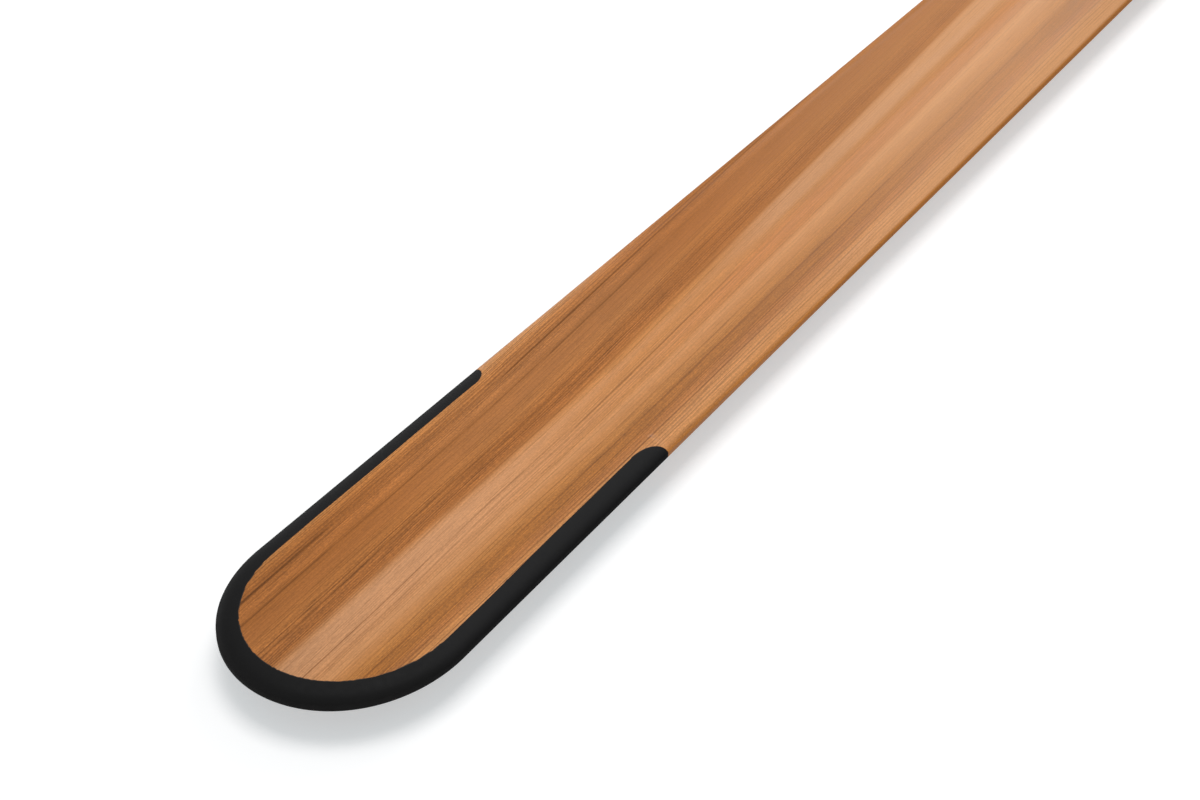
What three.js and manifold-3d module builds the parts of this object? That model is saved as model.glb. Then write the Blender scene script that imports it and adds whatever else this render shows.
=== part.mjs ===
// Greenland paddle: a slim two-bladed kayak paddle of red cedar, with black epoxy edging cast round each tip.
// Millimetres, +Z up. X runs along the paddle. The origin lies under the middle of the loom, on the plane
// that the paddle's flat underside rests on.
//
// The wood is a glued blank, shaped by hand: three staves run the whole length side by side, and a cheek
// glued to each side of them at each end gives the blade its width. Round each tip the wood is cut back and
// grooved, and the epoxy edging fills the cut, flush with both faces, with a tongue in the groove.
//
// In the formulas s is the distance from the nearer tip, measured along the paddle. Widths and heights are
// measured from the paddle's centre line and from its middle plane, and both halves of the paddle are alike.
import * as THREE from 'three';
import { mergeVertices } from 'three/addons/utils/BufferGeometryUtils.js';
import Module from 'manifold-3d';

const { clamp, lerp, smoothstep } = THREE.MathUtils;
const wasm = await Module();
wasm.setup();

// The whole paddle
const overallLength = 2200;

// Loom, the straight grip between the shoulders
const loomLength = 480;
const loomWidth = 38;
const loomThickness = 28;
const loomFlatWidth = 12; // flat on the top and on the underside
const loomSideFlatHeight = 6; // flat on each side

// Shoulder, where the loom widens into the blade
const shoulderLength = 70;
const sectionBlendLength = 110; // stretch of blade before the shoulder that rounds off towards the loom

// Blade
const bladeTipWidth = 88; // width that the straight edges would have at the very tip
const bladeRootWidth = 63.5; // width where the shoulder begins
const tipRoundLength = 51; // stretch that the round end takes
const tipFlatDepth = 0.15; // how much of the round end's point is cut off flat
const ridgeTipThickness = 12.4; // thickness along the middle of the blade, carried on to the tip
const ridgeFadeLength = 80; // stretch at the tip over which the ridge rises to that thickness
const spineTipWidth = 3; // flat along the ridge, at the tip
const ridgeSoftness = 5; // distance over which the face bends away from the spine
const rimTipThickness = 8; // thickness of the face where the edge begins to round, at the tip
const rimRootThickness = 14; // the same where the shoulder begins
const edgeRollWidth = 8; // width of the rounding along the edge
const edgeFlatHeight = 1.2; // flat left in the middle of the rounded edge

// Staves and cheeks
const middleStaveWidth = 14;

// Edging
const edgingLength = 171; // from the tip to the ends of its two arms
const edgingWidth = 7; // on the faces, along the arms
const edgingTipWidth = 7.7; // on the faces, round the tip
const edgingCornerLength = 10; // rounded inner corner at the end of each arm, along the paddle
const edgingCornerDepth = 6.5; // the same corner, across the paddle
const tongueDepth = 3;
const tongueThickness = 2.4;
const bondGap = 0.3; // between the wood and the epoxy, all round

// Fineness of the facets, and how far a cutting solid runs past what it cuts
const tipSteps = 10;
const bladeSteps = 8;
const blendSteps = 4;
const shoulderSteps = 8;
const faceSteps = 8;
const borderSteps = 28;
const cornerSteps = 5;
const edgeRollPower = 2.2;
const cutOverrun = 5;

// Worked out from the sizes above
const bladeLength = (overallLength - loomLength) / 2 - shoulderLength; // from the tip to the shoulder
const halfLength = overallLength / 2;
const shoulderEnd = bladeLength + shoulderLength;
const seamFromCentre = loomWidth / 2; // the cheeks are glued on flush with the loom's sides
const cutHalfWidth = Math.max(bladeTipWidth, loomWidth) / 2 + cutOverrun;
const cutHalfHeight = Math.max(loomThickness, ridgeTipThickness) / 2 + cutOverrun;

// Plan of the paddle

function taperedHalfWidth(s) {
  return lerp(bladeTipWidth, bladeRootWidth, s / bladeLength) / 2;
}

function halfWidth(s) {
  const back = Math.max(0, 1 - s / tipRoundLength);
  const blade = taperedHalfWidth(s) * Math.sqrt(1 - back ** 2);
  return lerp(blade, loomWidth / 2, smoothstep(s, bladeLength, shoulderEnd));
}

// Distance from the point to the outline, inwards. Round the tip it is taken along the line from the
// point that the round end is struck from.
function distanceFromOutline(s, across) {
  if (s >= tipRoundLength) return halfWidth(s) - across;
  const back = tipRoundLength - s;
  const level = Math.hypot(back / tipRoundLength, across / taperedHalfWidth(s));
  return Math.hypot(back, across) * (1 / level - 1);
}

// Thickness of the paddle, as heights of the face above the middle plane

function spineHalfWidth(s) {
  return lerp(spineTipWidth, loomFlatWidth, clamp(s / shoulderEnd, 0, 1)) / 2;
}

function ridgeHeight(s) {
  const rise = clamp(s / ridgeFadeLength, 0, 1);
  const full = lerp(ridgeTipThickness, loomThickness, clamp(s / shoulderEnd, 0, 1)) / 2;
  return lerp(rimTipThickness / 2, full, 1 - (1 - rise) ** 2);
}

function rimHeight(s) {
  return lerp(rimTipThickness, rimRootThickness, clamp(s / bladeLength, 0, 1) ** 2) / 2;
}

function bentAway(distance) {
  return distance ** 2 / (distance + ridgeSoftness);
}

function bladeFaceHeight(s, across) {
  const spine = spineHalfWidth(s);
  const reach = bentAway(taperedHalfWidth(s) - edgingWidth - spine);
  const fall = (ridgeHeight(s) - rimHeight(s)) * bentAway(Math.max(0, across - spine)) / reach;
  const inShare = clamp(distanceFromOutline(s, across) / edgeRollWidth, 0, 1);
  const rollShare = (1 - (1 - inShare) ** edgeRollPower) ** (1 / edgeRollPower);
  return lerp(edgeFlatHeight / 2, ridgeHeight(s) - fall, rollShare);
}

function loomFaceHeight(s, across) {
  const spine = spineHalfWidth(s);
  const outShare = clamp((across - spine) / (halfWidth(s) - spine), 0, 1);
  return lerp(loomSideFlatHeight / 2, ridgeHeight(s), Math.sqrt(1 - outShare ** 2));
}

function faceHeight(s, across) {
  const loomShare = smoothstep(s, bladeLength - sectionBlendLength, shoulderEnd);
  return lerp(bladeFaceHeight(s, across), loomFaceHeight(s, across), loomShare);
}

// One cross-section as a closed ring of [y, z] points, from the left edge over the top and back underneath
function sectionRing(s) {
  const width = halfWidth(s);
  const spine = spineHalfWidth(s);
  const topRight = [];
  for (let step = 0; step <= faceSteps; step += 1) {
    const outShare = 1 - (1 - step / faceSteps) ** 2;
    const across = lerp(spine, width, outShare);
    topRight.push([-across, faceHeight(s, across)]);
  }
  const topLeft = topRight.map(([y, z]) => [-y, z]).reverse();
  const top = [...topLeft, ...topRight];
  const underside = top.map(([y, z]) => [y, -z]).reverse();
  return [...top, ...underside];
}

// Distances from the tip at which the sections stand, from the tip to the end of the shoulder
function sectionPlaces() {
  const places = [tipFlatDepth];
  for (let step = 1; step <= tipSteps; step += 1) {
    places.push(tipRoundLength * (1 - Math.cos(Math.PI / 2 * step / tipSteps)));
  }
  const stretches = [
    [tipRoundLength, bladeLength - sectionBlendLength, bladeSteps],
    [bladeLength - sectionBlendLength, bladeLength, blendSteps],
    [bladeLength, shoulderEnd, shoulderSteps],
  ];
  for (const [from, to, steps] of stretches) {
    for (let step = 1; step <= steps; step += 1) places.push(lerp(from, to, step / steps));
  }
  return places;
}

// Closed skin over a row of sections, each given as { x, ring }, with x rising
function loft(sections) {
  const count = sections[0].ring.length;
  const position = sections.flatMap(({ x, ring }) => ring.flatMap(([y, z]) => [x, y, z]));
  const index = [];
  for (let row = 0; row < sections.length - 1; row += 1) {
    for (let column = 0; column < count; column += 1) {
      const here = row * count + column;
      const next = row * count + (column + 1) % count;
      index.push(here, next, here + count, next, next + count, here + count);
    }
  }
  const lastRow = (sections.length - 1) * count;
  for (let column = 1; column < count - 1; column += 1) {
    index.push(0, column + 1, column, lastRow, lastRow + column, lastRow + column + 1);
  }
  const geometry = new THREE.BufferGeometry();
  geometry.setAttribute('position', new THREE.Float32BufferAttribute(position, 3));
  geometry.setIndex(index);
  return geometry;
}

// Solids and the cuts between them

function solidFrom(geometry) {
  const bare = geometry.clone();
  bare.deleteAttribute('normal');
  bare.deleteAttribute('uv');
  const merged = mergeVertices(bare);
  return new wasm.Manifold(new wasm.Mesh({
    numProp: 3,
    vertProperties: new Float32Array(merged.attributes.position.array),
    triVerts: new Uint32Array(merged.index.array),
  }));
}

function geometryFrom(solid) {
  const mesh = solid.getMesh();
  const geometry = new THREE.BufferGeometry();
  geometry.setAttribute('position', new THREE.Float32BufferAttribute(mesh.vertProperties, 3));
  geometry.setIndex(Array.from(mesh.triVerts));
  geometry.computeVertexNormals();
  return geometry;
}

function boxBetween(low, high) {
  const size = high.map((value, axis) => value - low[axis]);
  const centre = high.map((value, axis) => (value + low[axis]) / 2);
  return solidFrom(new THREE.BoxGeometry(...size).translate(...centre));
}

// Area outside the edging's inner border, as it is cut round one tip. The border lies edgingWidth in from
// the outline along the arms and edgingTipWidth in at the tip, and both move in by the same inset.
function edgingPlan(inset, length, cornerLength, cornerDepth) {
  const tipStart = edgingTipWidth + inset;
  const borderHalfWidth = (s) => taperedHalfWidth(s) - edgingWidth - inset;
  const cornerStart = length - cornerLength;
  const cornerSide = borderHalfWidth(cornerStart) + cornerDepth;
  const plan = new THREE.Shape();
  plan.moveTo(length, cutHalfWidth);
  plan.lineTo(length, cornerSide);
  plan.absellipse(cornerStart, cornerSide, cornerLength, cornerDepth, 0, -Math.PI / 2, true);
  for (let step = 0; step <= borderSteps; step += 1) {
    const angle = Math.PI * (0.5 - step / borderSteps);
    const s = tipRoundLength - (tipRoundLength - tipStart) * Math.cos(angle);
    plan.lineTo(s, borderHalfWidth(s) * Math.sin(angle));
  }
  plan.absellipse(cornerStart, -cornerSide, cornerLength, cornerDepth, Math.PI / 2, 0, true);
  plan.lineTo(length, -cutHalfWidth);
  plan.lineTo(-cutOverrun, -cutHalfWidth);
  plan.lineTo(-cutOverrun, cutHalfWidth);
  return plan;
}

function slabFromPlan(plan, thickness) {
  const settings = { depth: thickness, bevelEnabled: false, curveSegments: cornerSteps };
  return solidFrom(new THREE.ExtrudeGeometry(plan, settings).translate(0, 0, -thickness / 2));
}

// What the edging takes at one tip, tongue included. With a gap it is the cut that the wood gets for it.
function edgingCut(gap) {
  const plan = edgingPlan(gap, edgingLength + gap, edgingCornerLength, edgingCornerDepth);
  const border = slabFromPlan(plan, 2 * cutHalfHeight);
  const tongueEnd = edgingLength - edgingCornerLength + gap;
  const tonguePlan = edgingPlan(tongueDepth + gap, tongueEnd, tongueDepth, tongueDepth);
  return border.add(slabFromPlan(tonguePlan, tongueThickness + 2 * gap));
}

// The uncut shape of one half of the paddle, from its tip at x = 0 to the end of the shoulder
function bladeBlank() {
  return solidFrom(loft(sectionPlaces().map((s) => ({ x: s, ring: sectionRing(s) }))));
}

// The uncut shape of the whole paddle, about its middle
function paddleBlank() {
  const near = sectionPlaces().map((s) => ({ x: s - halfLength, ring: sectionRing(s) }));
  const far = near.map(({ x, ring }) => ({ x: -x, ring })).reverse();
  return solidFrom(loft([...near, ...far]));
}

// Materials and nodes

const cedarTones = [0xc58d60, 0xb97f50, 0xcf9a6e];

function cedar(tone) {
  return new THREE.MeshStandardMaterial({ color: cedarTones[tone], roughness: 0.5, metalness: 0 });
}

function epoxy() {
  return new THREE.MeshStandardMaterial({ color: 0x28282a, roughness: 0.45, metalness: 0 });
}

function named(name, solid, material) {
  const mesh = new THREE.Mesh(geometryFrom(solid), material);
  mesh.name = name;
  return mesh;
}

// The three staves, each as long as the paddle, cut back at both tips for the edging
function makeStaves() {
  const group = new THREE.Group();
  const tipCut = edgingCut(bondGap);
  const nearCut = tipCut.translate([-halfLength, 0, 0]);
  const farCut = tipCut.rotate([0, 0, 180]).translate([halfLength, 0, 0]);
  const wood = paddleBlank().subtract(nearCut).subtract(farCut);
  const endX = halfLength + cutOverrun;
  const seam = middleStaveWidth / 2;
  const middleSlab = boxBetween([-endX, -seam, -cutHalfHeight], [endX, seam, cutHalfHeight]);
  group.add(named('loom_stave_middle', wood.intersect(middleSlab), cedar(0)));
  for (const [side, sign, tone] of [['left', 1, 1], ['right', -1, 2]]) {
    const span = (from, to) => [sign * from, sign * to].sort((a, b) => a - b);
    const [sideLow, sideHigh] = span(seam, cutHalfWidth);
    const [cheekLow, cheekHigh] = span(seamFromCentre, cutHalfWidth);
    let stave = wood.intersect(boxBetween([-endX, sideLow, -cutHalfHeight], [endX, sideHigh, cutHalfHeight]));
    for (const [startX, stopX] of [[-endX, -loomLength / 2], [loomLength / 2, endX]]) {
      const cheekSpace = boxBetween([startX, cheekLow, -cutHalfHeight], [stopX, cheekHigh, cutHalfHeight]);
      stave = stave.subtract(cheekSpace);
    }
    group.add(named(`loom_stave_${side}`, stave, cedar(tone)));
  }
  return group;
}

// The pieces that belong to one blade, with its tip at the group's origin. Left and right are as seen
// from the tip, looking along the paddle.
function makeBlade(blade) {
  const group = new THREE.Group();
  const blank = bladeBlank();
  const wood = blank.subtract(edgingCut(bondGap));
  const endX = shoulderEnd + cutOverrun;
  for (const [side, sign, tone] of [['left', 1, 2], ['right', -1, 1]]) {
    const [low, high] = [sign * seamFromCentre, sign * cutHalfWidth].sort((a, b) => a - b);
    const cheekSlab = boxBetween([-cutOverrun, low, -cutHalfHeight], [endX, high, cutHalfHeight]);
    group.add(named(`${blade}_blade_cheek_${side}`, wood.intersect(cheekSlab), cedar(tone)));
  }
  group.add(named(`${blade}_blade_edging`, blank.intersect(edgingCut(0)), epoxy()));
  return group;
}

const nearBlade = makeBlade('near');
nearBlade.position.x = -halfLength;

const farBlade = makeBlade('far');
farBlade.position.x = halfLength;
farBlade.rotation.z = Math.PI;

const paddle = new THREE.Group();
paddle.add(makeStaves(), nearBlade, farBlade);
paddle.position.z = loomThickness / 2;

export default paddle;
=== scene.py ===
"""A greenland paddle of red cedar with black epoxy edging round its tips, lying on a plain white floor.

Metres, +Z up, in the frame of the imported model: X runs along the paddle, and the loom rests on z = 0.
The near blade, which the camera looks at, is the one at the low end of X. Left and right are as seen from
a blade's tip, looking along the paddle.
In the formulas s is the distance from the nearer tip, and across the distance from the centre line.
"""
import math

import bmesh
import bpy
import numpy as np
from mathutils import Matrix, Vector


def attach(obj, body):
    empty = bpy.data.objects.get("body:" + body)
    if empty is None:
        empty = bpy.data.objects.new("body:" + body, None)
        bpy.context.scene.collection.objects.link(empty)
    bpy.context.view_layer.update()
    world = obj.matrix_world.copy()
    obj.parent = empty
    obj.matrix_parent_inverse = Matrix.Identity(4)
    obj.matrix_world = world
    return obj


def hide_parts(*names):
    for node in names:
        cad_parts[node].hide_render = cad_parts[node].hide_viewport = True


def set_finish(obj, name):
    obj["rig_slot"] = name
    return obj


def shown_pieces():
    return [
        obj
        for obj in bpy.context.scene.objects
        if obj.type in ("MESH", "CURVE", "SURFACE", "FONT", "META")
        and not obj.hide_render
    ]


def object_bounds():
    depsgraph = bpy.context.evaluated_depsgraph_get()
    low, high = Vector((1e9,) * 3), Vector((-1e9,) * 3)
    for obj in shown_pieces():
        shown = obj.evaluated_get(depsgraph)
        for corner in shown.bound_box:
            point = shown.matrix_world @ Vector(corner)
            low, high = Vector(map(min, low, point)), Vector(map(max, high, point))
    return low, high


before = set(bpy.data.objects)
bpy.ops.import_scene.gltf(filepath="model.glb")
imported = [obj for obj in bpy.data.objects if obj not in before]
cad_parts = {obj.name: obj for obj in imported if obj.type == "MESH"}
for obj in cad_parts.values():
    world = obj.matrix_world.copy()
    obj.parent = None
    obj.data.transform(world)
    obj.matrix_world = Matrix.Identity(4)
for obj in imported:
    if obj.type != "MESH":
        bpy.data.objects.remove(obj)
cad_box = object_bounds()

MM = 0.001

# Paddle, in metres
HALF_LENGTH = 1.100
LOOM_LENGTH = 0.480
LOOM_WIDTH = 0.038
LOOM_THICKNESS = 0.028
LOOM_FLAT_WIDTH = 0.012
LOOM_SIDE_FLAT_HEIGHT = 0.006
SHOULDER_LENGTH = 0.070
SECTION_BLEND_LENGTH = 0.110
BLADE_TIP_WIDTH = 0.088
BLADE_ROOT_WIDTH = 0.0635
TIP_ROUND_LENGTH = 0.051
RIDGE_TIP_THICKNESS = 0.0124
RIDGE_FADE_LENGTH = 0.080
SPINE_TIP_WIDTH = 0.003
RIDGE_SOFTNESS = 0.005
RIM_TIP_THICKNESS = 0.008
RIM_ROOT_THICKNESS = 0.014
EDGE_ROLL_WIDTH = 0.008
EDGE_FLAT_HEIGHT = 0.0012
EDGE_ROLL_POWER = 2.2
MIDDLE_STAVE_WIDTH = 0.014
EDGING_LENGTH = 0.171
EDGING_WIDTH = 0.007
EDGING_TIP_WIDTH = 0.0077
EDGING_CORNER_DEPTH = 0.0065

BLADE_LENGTH = HALF_LENGTH - LOOM_LENGTH / 2 - SHOULDER_LENGTH
BLEND_START = BLADE_LENGTH - SECTION_BLEND_LENGTH
SHOULDER_END = BLADE_LENGTH + SHOULDER_LENGTH
SEAM_FROM_CENTRE = LOOM_WIDTH / 2
MIDDLE_HEIGHT = (cad_box[0][2] + cad_box[1][2]) / 2

# The sign of each side, left being at +Y on the near blade, and of each blade along X
SIDES = {"left": 1, "right": -1}
BLADES = {"near": -1, "far": 1}


def blend(start, end, share):
    return start + (end - start) * share


def smoothstep(value, start, end):
    share = np.clip((value - start) / (end - start), 0, 1)
    return share * share * (3 - 2 * share)


# Camera

# The camera as seen from the near blade's tip: along the paddle, across it and up
CAMERA_FROM_TIP = (-0.5005, -0.4788, 0.6709)
CAMERA_TURN = math.radians(-55.26)
CAMERA_DIP = math.radians(38.87)
CAMERA_LENS = 90
CAMERA_CLIP_END = 100


def make_camera():
    data = bpy.data.cameras.new("camera")
    data.lens = CAMERA_LENS
    data.clip_end = CAMERA_CLIP_END
    camera = bpy.data.objects.new("camera", data)
    along, across, up = CAMERA_FROM_TIP
    camera.location = (along - HALF_LENGTH, across, up + MIDDLE_HEIGHT)
    camera.rotation_euler = (math.pi / 2 - CAMERA_DIP, 0, CAMERA_TURN)
    bpy.context.collection.objects.link(camera)
    bpy.context.scene.camera = camera


# Plan and thickness of the paddle

# Keeps the middle of the round end from being divided by nothing
LEAST_LEVEL = 1e-9


def tapered_half_width(s):
    return blend(BLADE_TIP_WIDTH, BLADE_ROOT_WIDTH, s / BLADE_LENGTH) / 2


def half_width(s):
    back = np.maximum(0, 1 - s / TIP_ROUND_LENGTH)
    blade = tapered_half_width(s) * np.sqrt(np.maximum(0, 1 - back**2))
    return blend(blade, LOOM_WIDTH / 2, smoothstep(s, BLADE_LENGTH, SHOULDER_END))


def distance_from_outline(s, across):
    """How far inside the outline a point lies.

    In the round end this is measured along the line from the end's centre through the point.
    """
    back = np.maximum(TIP_ROUND_LENGTH - s, 0)
    level = np.hypot(back / TIP_ROUND_LENGTH, across / tapered_half_width(s))
    round_end = np.hypot(back, across) * (1 / np.maximum(level, LEAST_LEVEL) - 1)
    return np.where(s < TIP_ROUND_LENGTH, round_end, half_width(s) - across)


def spine_half_width(s):
    return blend(SPINE_TIP_WIDTH, LOOM_FLAT_WIDTH, np.clip(s / SHOULDER_END, 0, 1)) / 2


def ridge_height(s):
    rise = np.clip(s / RIDGE_FADE_LENGTH, 0, 1)
    full = blend(RIDGE_TIP_THICKNESS, LOOM_THICKNESS, np.clip(s / SHOULDER_END, 0, 1)) / 2
    return blend(RIM_TIP_THICKNESS / 2, full, 1 - (1 - rise) ** 2)


def rim_height(s):
    return blend(RIM_TIP_THICKNESS, RIM_ROOT_THICKNESS, np.clip(s / BLADE_LENGTH, 0, 1) ** 2) / 2


def bent_away(distance):
    return distance**2 / (distance + RIDGE_SOFTNESS)


def blade_face_height(s, across):
    spine = spine_half_width(s)
    reach = bent_away(tapered_half_width(s) - EDGING_WIDTH - spine)
    fall = (ridge_height(s) - rim_height(s)) * bent_away(np.maximum(0, across - spine)) / reach
    in_share = np.clip(distance_from_outline(s, across) / EDGE_ROLL_WIDTH, 0, 1)
    roll_share = (1 - (1 - in_share) ** EDGE_ROLL_POWER) ** (1 / EDGE_ROLL_POWER)
    return blend(EDGE_FLAT_HEIGHT / 2, ridge_height(s) - fall, roll_share)


def loom_face_height(s, across):
    spine = spine_half_width(s)
    out_share = np.clip((across - spine) / (half_width(s) - spine), 0, 1)
    return blend(LOOM_SIDE_FLAT_HEIGHT / 2, ridge_height(s), np.sqrt(1 - out_share**2))


def face_height(s, across):
    """Height of the face above the paddle's middle plane."""
    loom_share = smoothstep(s, BLEND_START, SHOULDER_END)
    return blend(blade_face_height(s, across), loom_face_height(s, across), loom_share)


# The edging's inner border. It is cut by hand, so it waves a little, and the left arm ends a little before
# the right one, with a shorter corner. Each wave has its depth, its length over two pi, and its phase.

ARM_LENGTHS = {1: EDGING_LENGTH - 0.5 * MM, -1: EDGING_LENGTH + 1.0 * MM}
CORNER_LENGTHS = {1: 0.009, -1: 0.0125}
BORDER_WAVES = ((0.00010, 0.0214, 0.4), (0.00007, 0.0093, 1.9), (0.00038, 0.0460, 0.0))
WAVE_FADE_LENGTH = 0.020
TIP_ROWS = 90
ARM_ROWS = 60
CORNER_ROWS = 14


def border_and_outline(side):
    """Points (s, y) of the border on one side, and their partners on the paddle's outline.

    They run from the middle of the tip to the end of the arm.
    """
    angle = np.linspace(0, math.pi / 2, TIP_ROWS)
    tip_s = TIP_ROUND_LENGTH - (TIP_ROUND_LENGTH - EDGING_TIP_WIDTH) * np.cos(angle)
    tip_y = (tapered_half_width(tip_s) - EDGING_WIDTH) * np.sin(angle)
    tip_out_s = TIP_ROUND_LENGTH * (1 - np.cos(angle))
    tip_out_y = tapered_half_width(tip_out_s) * np.sin(angle)
    corner_s = ARM_LENGTHS[side] - CORNER_LENGTHS[side]
    arm_s = np.linspace(TIP_ROUND_LENGTH, corner_s, ARM_ROWS)[1:]
    arm_y = tapered_half_width(arm_s) - EDGING_WIDTH
    turn = np.linspace(0, math.pi / 2, CORNER_ROWS)[1:]
    end_s = corner_s + CORNER_LENGTHS[side] * np.sin(turn)
    end_y = arm_y[-1] + EDGING_CORNER_DEPTH * (1 - np.cos(turn))
    s = np.concatenate([tip_s, arm_s, end_s])
    y = np.concatenate([tip_y, arm_y, end_y])
    out_s = np.concatenate([tip_out_s, arm_s, end_s])
    out_y = np.concatenate([tip_out_y, tapered_half_width(arm_s), tapered_half_width(end_s)])
    run = np.concatenate([[0], np.cumsum(np.hypot(np.diff(s), np.diff(y)))])
    wave = sum(depth * np.sin(side * run / length + phase) for depth, length, phase in BORDER_WAVES)
    still = 1 - smoothstep(s, corner_s - WAVE_FADE_LENGTH, corner_s)
    inward = np.minimum(s / TIP_ROUND_LENGTH, 1)
    return s + wave * still * np.sqrt(1 - inward**2), y - wave * still * inward, out_s, out_y


BORDERS = {side: border_and_outline(side) for side in SIDES.values()}


# Meshes

MERGE_DISTANCE = 2e-7
SHARP_ANGLE = math.radians(40)
ARM_END_POINTS = 8
# Past the arms' ends by this much, the distance to the border no longer matters, and counts as far
BORDER_REACH = 0.020
FAR_FROM_BORDER = 1.0


def finish_mesh(name, vertices, faces, slot, border_distance):
    mesh = bpy.data.meshes.new(name)
    mesh.from_pydata(vertices, [], faces)
    layer = mesh.attributes.new("border_distance", "FLOAT", "POINT")
    layer.data.foreach_set("value", border_distance.astype(np.float32))
    work = bmesh.new()
    work.from_mesh(mesh)
    bmesh.ops.remove_doubles(work, verts=work.verts, dist=MERGE_DISTANCE)
    bmesh.ops.dissolve_degenerate(work, edges=work.edges, dist=MERGE_DISTANCE)
    bmesh.ops.recalc_face_normals(work, faces=work.faces)
    work.to_mesh(mesh)
    work.free()
    mesh.shade_smooth()
    mesh.set_sharp_from_angle(angle=SHARP_ANGLE)
    piece = bpy.data.objects.new(name, mesh)
    bpy.context.collection.objects.link(piece)
    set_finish(piece, slot)
    return piece


def grid_faces(rows, columns):
    """Faces of a closed slab: a grid on top, the same grid underneath, and a wall all round."""
    below = rows * columns
    faces = []
    for row in range(rows - 1):
        for column in range(columns - 1):
            first = row * columns + column
            quad = (first, first + columns, first + columns + 1, first + 1)
            faces.append(quad)
            faces.append(tuple(below + corner for corner in reversed(quad)))
    rim = list(range(columns))
    rim += [row * columns + columns - 1 for row in range(1, rows)]
    rim += [(rows - 1) * columns + column for column in range(columns - 2, -1, -1)]
    rim += [row * columns for row in range(rows - 2, 0, -1)]
    for here, following in zip(rim, rim[1:] + rim[:1]):
        faces.append((here, following, below + following, below + here))
    return faces


def distance_to_border(s, y):
    """Distance in the plan from each point to the edging's inner border."""
    lines = []
    for side, (border_s, border_y, _, _) in BORDERS.items():
        end_y = np.linspace(border_y[-1], tapered_half_width(ARM_LENGTHS[side]), ARM_END_POINTS)
        line_s = np.concatenate([border_s, np.full(end_y.shape, ARM_LENGTHS[side])])
        lines.append(np.stack([line_s, side * np.concatenate([border_y, end_y])], 1))
    line = np.concatenate(lines)
    points = np.stack([s.ravel(), y.ravel()], 1)
    nearest = np.full(len(points), FAR_FROM_BORDER)
    close = points[:, 0] < EDGING_LENGTH + BORDER_REACH
    gaps = points[close][:, None, :] - line[None, :, :]
    nearest[close] = np.sqrt((gaps**2).sum(2).min(1))
    return nearest


def make_slab(name, x, y, slot):
    """A closed piece over a grid of places in the plan, as thick as the paddle is there."""
    s = HALF_LENGTH - np.abs(x)
    height = face_height(s, np.abs(y))
    top = np.stack([x, y, MIDDLE_HEIGHT + height], 2).reshape(-1, 3)
    underside = np.stack([x, y, MIDDLE_HEIGHT - height], 2).reshape(-1, 3)
    turned = np.where(x < 0, y, -y)
    gap = distance_to_border(s, turned)
    vertices = np.concatenate([top, underside]).tolist()
    piece = finish_mesh(name, vertices, grid_faces(*x.shape), slot, np.concatenate([gap, gap]))
    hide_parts(name)
    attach(piece, "root")


# Staves, cheeks and edgings

# Where the stretches of rows along a blade end, and how far apart their rows stand
TIP_STRETCH_END = 0.060
FINE_STRETCH_END = 0.200
FINE_STEP = 0.003
BLADE_STEP = 0.007
STAVE_SHOULDER_STEP = 0.003
CHEEK_SHOULDER_STEP = 0.002
LOOM_STEP = 0.012
# How far past the end of an arm the wood is at its full width
ARM_END_STEP = 1e-6

# Rows and columns of the pieces' grids, and how closely the columns crowd towards the outline
STAVE_TIP_ROWS = 26
CHEEK_TIP_ROWS = 40
STAVE_COLUMNS = 15
CHEEK_COLUMNS = 26
EDGING_COLUMNS = 22
CHEEK_CROWDING = 2
EDGING_CROWDING = 1.8


def rows_between(start, end, step):
    return np.linspace(start, end, max(2, round((end - start) / step) + 1))


def shares_close_at_start(count):
    return 1 - np.cos(np.linspace(0, math.pi / 2, count))


def shares_close_at_end(count, power):
    return 1 - (1 - np.linspace(0, 1, count)) ** power


def stave_rows(y, blade):
    """Rows s of a stave's half, one column for each y, from the border at the tip to the middle."""
    turned = y if blade == "near" else -y
    starts = np.empty(len(y))
    for column, place in enumerate(turned):
        border_s, border_y, _, _ = BORDERS[1 if place >= 0 else -1]
        starts[column] = np.interp(abs(place), border_y[:TIP_ROWS], border_s[:TIP_ROWS])
    share = shares_close_at_start(STAVE_TIP_ROWS)
    tip = starts[None, :] + (TIP_STRETCH_END - starts[None, :]) * share[:, None]
    rest = np.concatenate([
        rows_between(TIP_STRETCH_END, FINE_STRETCH_END, FINE_STEP)[1:],
        rows_between(FINE_STRETCH_END, BLEND_START, BLADE_STEP)[1:],
        rows_between(BLEND_START, SHOULDER_END, STAVE_SHOULDER_STEP)[1:],
        rows_between(SHOULDER_END, HALF_LENGTH, LOOM_STEP)[1:],
    ])
    return np.concatenate([tip, np.repeat(rest[:, None], len(y), 1)])


def make_stave(name, low, high):
    y = np.linspace(low, high, STAVE_COLUMNS)
    near = stave_rows(y, "near") - HALF_LENGTH
    far = (HALF_LENGTH - stave_rows(y, "far"))[::-1][1:]
    x = np.concatenate([near, far])
    make_slab(name, x, np.repeat(y[None, :], len(x), 0), "cedar")


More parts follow.
